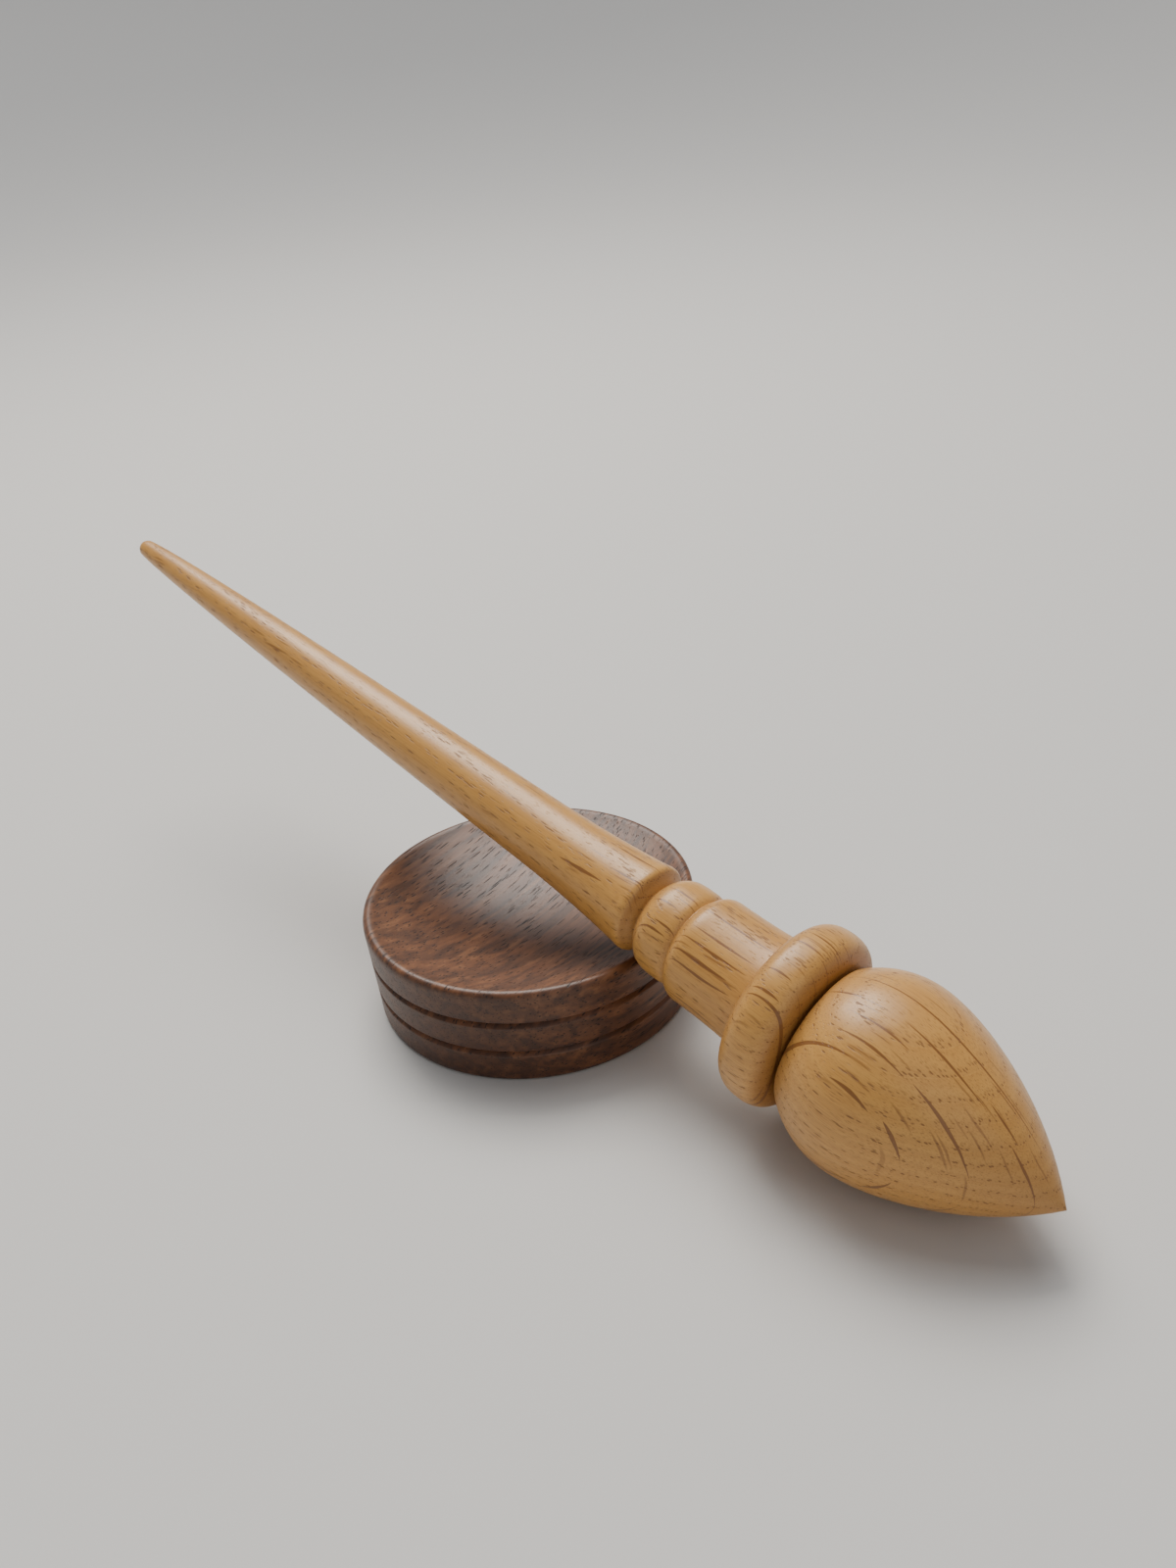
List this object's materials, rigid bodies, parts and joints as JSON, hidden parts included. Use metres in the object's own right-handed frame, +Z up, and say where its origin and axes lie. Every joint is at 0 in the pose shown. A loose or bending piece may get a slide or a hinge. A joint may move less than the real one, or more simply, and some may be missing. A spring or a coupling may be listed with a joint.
{
  "type": "support spindle",
  "caption": "Turned oak support spindle with a tapering shaft, rounded collar and pointed bulb, lying across its shallow walnut spinning dish.",
  "frame": {"origin": "centre of the dish's flat underside, on the surface that the object stands on", "axes": "+Z up; +X in plan along the lying spindle, from the shaft's tip towards the bulb's point; the spindle's axis lies in a plane of constant Y"},
  "size_m": [0.2759, 0.072, 0.073],
  "materials": {
    "walnut": "polished oil and wax",
    "oak": "satin oil and wax"
  },
  "bodies": {
    "dish": {"support_dish": "walnut"},
    "spindle": {"spindle": "oak"}
  },
  "joints": [
    {"name": "spindle_spin", "type": "hinge", "parent": "dish", "child": "spindle", "pos_m": [-0.14966, 0.0026, 0.07121], "axis": [0.9776, 0, -0.2103], "continuous": true}
  ]
}
